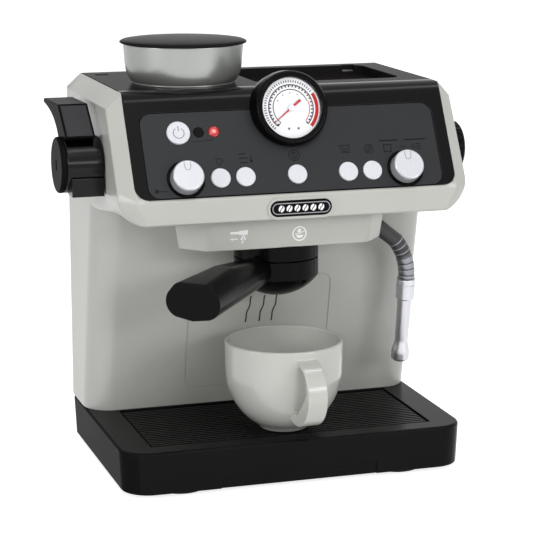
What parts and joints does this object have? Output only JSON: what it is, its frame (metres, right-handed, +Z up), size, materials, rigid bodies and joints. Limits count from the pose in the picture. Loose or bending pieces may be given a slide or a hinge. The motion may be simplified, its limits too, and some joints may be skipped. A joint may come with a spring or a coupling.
{
  "type": "toy coffee maker",
  "caption": "Toy espresso machine with a gauge, buttons, two dial knobs, a swinging portafilter and steam wand, a side lever, a hopper with a lid and a cup.",
  "frame": {"origin": "middle of the bounding box on the floor, under the rubber feet", "axes": "+Z up, -Y out of the machine's front, +X to the right seen from the front"},
  "size_m": [0.2534, 0.1832, 0.2635],
  "materials": {
    "grey_plastic": "satin light warm grey moulded plastic",
    "black_plastic": "gloss black moulded plastic",
    "inner_plastic": "matt dark moulded plastic",
    "inlay_plastic": "satin dark grey printed inlay",
    "pearl_plastic": "pearl white moulded plastic",
    "knob_silver": "plastic with a silver lacquer, satin",
    "silver_lacquer": "plastic with a silver lacquer, satin",
    "hose_plastic": "soft grey moulded plastic",
    "cup_plastic": "light grey moulded plastic, glossy",
    "grille_plastic": "black moulded plastic, ribbed",
    "foot_rubber": "soft black rubber",
    "dial_white": "white printed disc",
    "needle_red": "red moulded plastic",
    "clear_lens": "clear plastic lens",
    "lamp_red": "red translucent lamp lens, lit",
    "zinc_steel": "zinc plated steel screws",
    "nickel_steel": "nickel plated spring steel",
    "cell_jacket": "plain battery jacket, no print",
    "board_green": "glass fibre circuit board",
    "speaker_black": "black speaker with a paper cone"
  },
  "bodies": {
    "machine": {"base_housing": "black_plastic", "bottom_cover": "black_plastic", "battery_door": "black_plastic", "battery_door_screw": "zinc_steel", "base_screws": "zinc_steel", "foot_front_left": "foot_rubber", "foot_front_right": "foot_rubber", "foot_back_left": "foot_rubber", "foot_back_right": "foot_rubber", "battery_1": "cell_jacket", "battery_2": "cell_jacket", "battery_3": "cell_jacket", "battery_contacts": "nickel_steel", "drip_grille": "grille_plastic", "main_housing": "grey_plastic", "rear_cover": "grey_plastic", "rear_screws": "zinc_steel", "brow_housing": "grey_plastic", "control_panel": "black_plastic", "panel_inlay": "inlay_plastic", "lamp_lens": "lamp_red", "dark_window": "black_plastic", "gauge_housing": "black_plastic", "gauge_dial": "dial_white", "gauge_lens": "clear_lens", "badge_plate": "black_plastic", "top_tray": "black_plastic", "hopper_bowl": "silver_lacquer", "group_head": "black_plastic", "circuit_board": "board_green", "tact_switches": "inner_plastic", "speaker": "speaker_black"},
    "power_button": {"power_button": "pearl_plastic"},
    "button_1": {"button_1": "pearl_plastic"},
    "button_2": {"button_2": "pearl_plastic"},
    "button_3": {"button_3": "pearl_plastic"},
    "button_4": {"button_4": "pearl_plastic"},
    "button_5": {"button_5": "pearl_plastic"},
    "dial_knob_left": {"dial_knob_left": "knob_silver", "knob_retainer_left": "inner_plastic"},
    "dial_knob_right": {"dial_knob_right": "knob_silver", "knob_retainer_right": "inner_plastic"},
    "gauge_needle": {"gauge_needle": "needle_red"},
    "side_lever": {"side_lever": "black_plastic", "lever_cap": "black_plastic", "lever_retainer": "inner_plastic"},
    "side_knob": {"side_knob": "black_plastic", "side_knob_retainer": "inner_plastic"},
    "portafilter": {"portafilter_ring": "black_plastic", "portafilter_handle": "black_plastic"},
    "steam_wand": {"wand_hose": "hose_plastic", "wand_collar": "silver_lacquer", "wand_nozzle": "silver_lacquer"},
    "hopper_lid": {"hopper_lid": "black_plastic"},
    "cup": {"cup": "cup_plastic"}
  },
  "joints": [
    {"name": "power_button_press", "type": "slide", "parent": "machine", "child": "power_button", "axis": [0, 0.8771, -0.4802], "range_m": [0, 0.0015], "stiffness_N_per_m": 300},
    {"name": "button_1_press", "type": "slide", "parent": "machine", "child": "button_1", "axis": [0, 0.8771, -0.4802], "range_m": [0, 0.0015], "stiffness_N_per_m": 300},
    {"name": "button_2_press", "type": "slide", "parent": "machine", "child": "button_2", "axis": [0, 0.8771, -0.4802], "range_m": [0, 0.0015], "stiffness_N_per_m": 300},
    {"name": "button_3_press", "type": "slide", "parent": "machine", "child": "button_3", "axis": [0, 0.8771, -0.4802], "range_m": [0, 0.0015], "stiffness_N_per_m": 300},
    {"name": "button_4_press", "type": "slide", "parent": "machine", "child": "button_4", "axis": [0, 0.8771, -0.4802], "range_m": [0, 0.0015], "stiffness_N_per_m": 300},
    {"name": "button_5_press", "type": "slide", "parent": "machine", "child": "button_5", "axis": [0, 0.8771, -0.4802], "range_m": [0, 0.0015], "stiffness_N_per_m": 300},
    {"name": "dial_knob_left_turn", "type": "hinge", "parent": "machine", "child": "dial_knob_left", "pos_m": [-0.0608, -0.04422, 0.18865], "axis": [0, -0.8771, 0.4802], "range_deg": [-135, 135]},
    {"name": "dial_knob_right_turn", "type": "hinge", "parent": "machine", "child": "dial_knob_right", "pos_m": [0.0742, -0.04422, 0.18865], "axis": [0, -0.8771, 0.4802], "range_deg": [-135, 135]},
    {"name": "needle_turn", "type": "hinge", "parent": "machine", "child": "gauge_needle", "pos_m": [0.0067, -0.03169, 0.22569], "axis": [0, -0.9613, 0.2756], "range_deg": [-261, 9]},
    {"name": "lever_turn", "type": "hinge", "parent": "machine", "child": "side_lever", "pos_m": [-0.1008, 0.00262, 0.193], "axis": [1, 0, 0], "range_deg": [0, 60]},
    {"name": "side_knob_turn", "type": "hinge", "parent": "machine", "child": "side_knob", "pos_m": [0.1142, 0.00262, 0.193], "axis": [1, 0, 0], "range_deg": [-135, 135]},
    {"name": "portafilter_turn", "type": "hinge", "parent": "machine", "child": "portafilter", "pos_m": [0.0067, -0.00328, 0.1341], "axis": [0, 0, 1], "range_deg": [-40, 45]},
    {"name": "wand_swing", "type": "hinge", "parent": "machine", "child": "steam_wand", "pos_m": [0.0612, 0.00012, 0.1515], "axis": [-1, 0, 0], "range_deg": [0, 55]},
    {"name": "hopper_lid_lift", "type": "slide", "parent": "machine", "child": "hopper_lid", "axis": [0, 0, 1], "range_m": [0, 0.06]},
    {"name": "cup_lift_out", "type": "slide", "parent": "machine", "child": "cup", "axis": [0, -0.9659, 0.2588], "range_m": [0, 0.1]}
  ]
}
